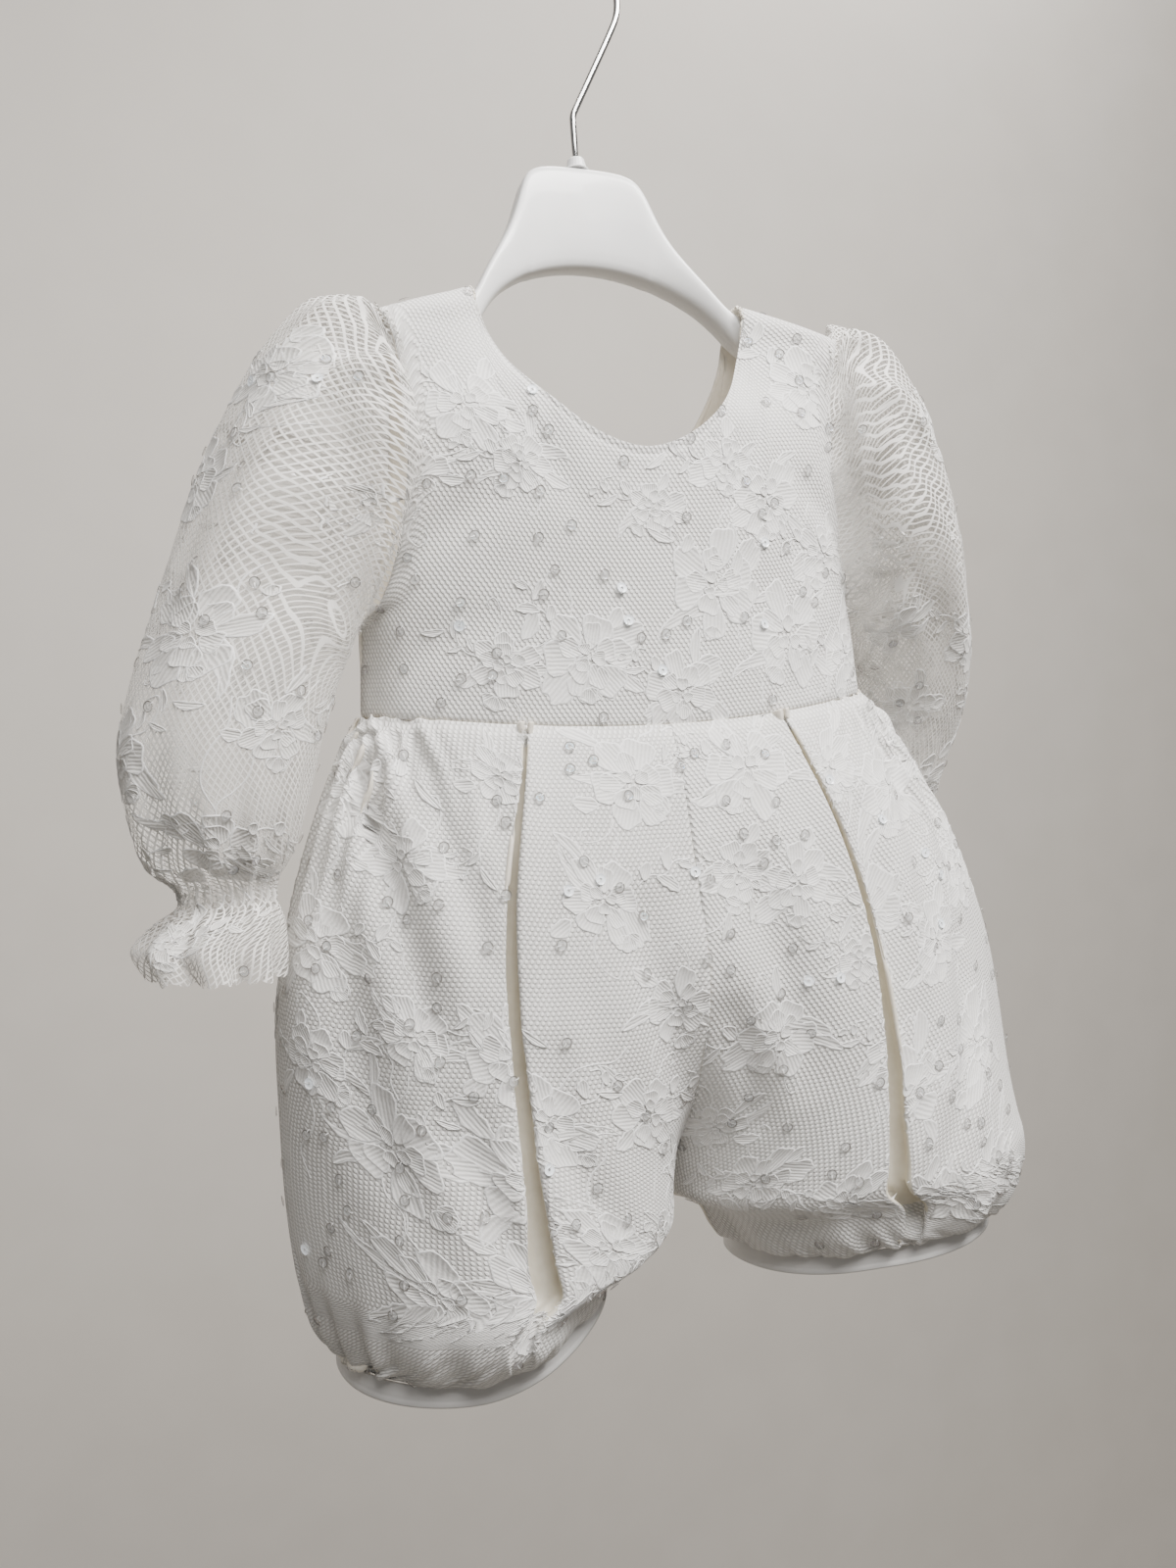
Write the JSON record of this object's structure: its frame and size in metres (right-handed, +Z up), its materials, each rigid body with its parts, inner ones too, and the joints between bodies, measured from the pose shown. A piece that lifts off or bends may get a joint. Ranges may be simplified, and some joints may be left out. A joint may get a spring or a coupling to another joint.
{
  "type": "baby romper on a hanger",
  "caption": "Long-sleeved baby romper in sequinned floral lace with bubble shorts and frilled cuffs, hanging on a white plastic hanger with a wire hook.",
  "frame": {"origin": "highest point inside the hanger's hook, where a rod carries it", "axes": "+Z up, -Y the front of the garment, +X the wearer's left"},
  "size_m": [0.3833, 0.1524, 0.558],
  "materials": {
    "white_plastic": "moulded, satin",
    "chrome_wire": "bright plated wire",
    "ivory_lace": "corded floral lace over ivory satin lining",
    "lace_net": "unlined corded floral lace",
    "white_band": "smooth white satin"
  },
  "bodies": {
    "root": {"hanger_body": "white_plastic", "hanger_collar": "white_plastic", "hanger_hook": "chrome_wire", "bodice_front": "ivory_lace", "bodice_back_left": "ivory_lace", "bodice_back_right": "ivory_lace", "shorts_front_left": "ivory_lace", "shorts_front_right": "ivory_lace", "shorts_back_left": "ivory_lace", "shorts_back_right": "ivory_lace", "leg_band_left": "white_band", "leg_band_right": "white_band", "sleeve_left": "lace_net", "sleeve_right": "lace_net"}
  },
  "joints": []
}
